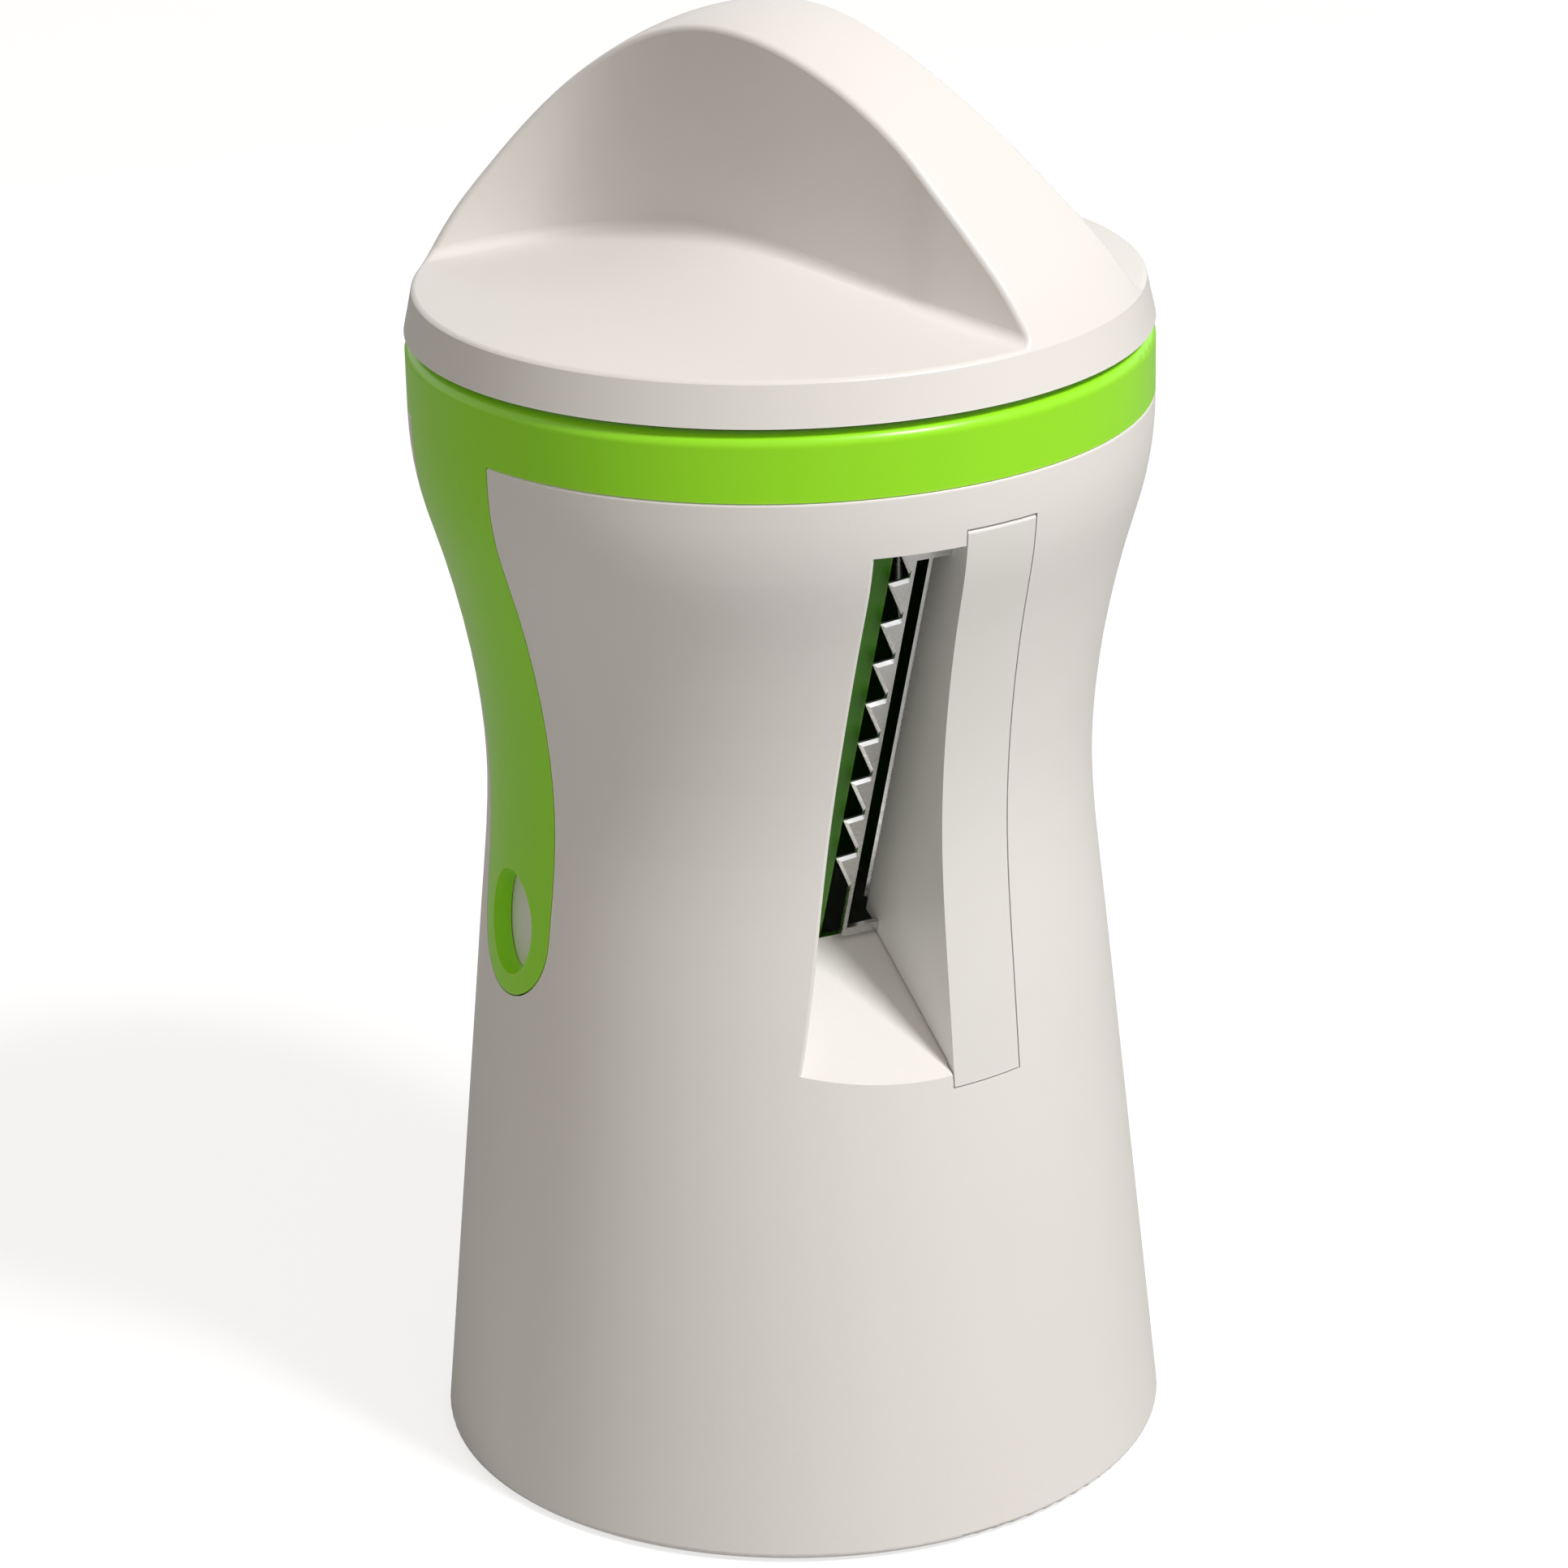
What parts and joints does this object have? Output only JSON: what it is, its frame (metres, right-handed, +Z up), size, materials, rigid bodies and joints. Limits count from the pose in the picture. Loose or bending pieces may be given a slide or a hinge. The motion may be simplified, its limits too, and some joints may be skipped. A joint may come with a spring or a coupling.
{
  "type": "hand spiral slicer",
  "caption": "Hand-held spiral vegetable slicer: hourglass body with a side outlet and blade cassette, green collar with side tongues, and a lid with a domed turning knob.",
  "frame": {"origin": "centre of the base, on the surface that the slicer stands on", "axes": "+Z up along the body's axis, -Y towards the outlet window, the collar's tongues on +X and -X"},
  "size_m": [0.0862, 0.0862, 0.1722],
  "materials": {
    "white_body": "satin moulded plastic",
    "white_lid": "smooth moulded plastic",
    "green_plastic": "smooth lime-green moulded plastic",
    "deep_green": "smooth dark green moulded plastic",
    "grey_rubber": "matt",
    "blade_steel": "ground",
    "steel_screw": "plain",
    "steel_shaft": "turned",
    "natural_acetal": "natural"
  },
  "bodies": {
    "housing": {"body_shell": "white_body", "collar": "green_plastic", "funnel": "deep_green", "base_plate": "white_body", "foot_ring": "grey_rubber", "base_screws": "steel_screw"},
    "cassette": {"cassette_frame": "white_body", "straight_blade": "blade_steel", "tooth_comb": "blade_steel", "blade_rivets": "steel_screw"},
    "lid": {"lid_plate": "white_lid", "bearing_bush": "natural_acetal"},
    "knob": {"knob_shell": "white_lid", "knob_cover": "white_lid", "knob_screws": "steel_screw", "drive_spindle": "steel_shaft", "thrust_washer": "natural_acetal", "circlip": "steel_shaft", "holder_disc": "white_lid", "holder_pins": "blade_steel", "centre_spike": "blade_steel"}
  },
  "joints": [
    {"name": "cassette_slide", "type": "slide", "parent": "housing", "child": "cassette", "axis": [0, -1, 0], "range_m": [0, 0.045]},
    {"name": "lid_lift", "type": "slide", "parent": "housing", "child": "lid", "axis": [0, 0, 1], "range_m": [0, 0.06]},
    {"name": "knob_turn", "type": "hinge", "parent": "lid", "child": "knob", "pos_m": [0, 0, 0.1405], "axis": [0, 0, 1], "continuous": true}
  ]
}
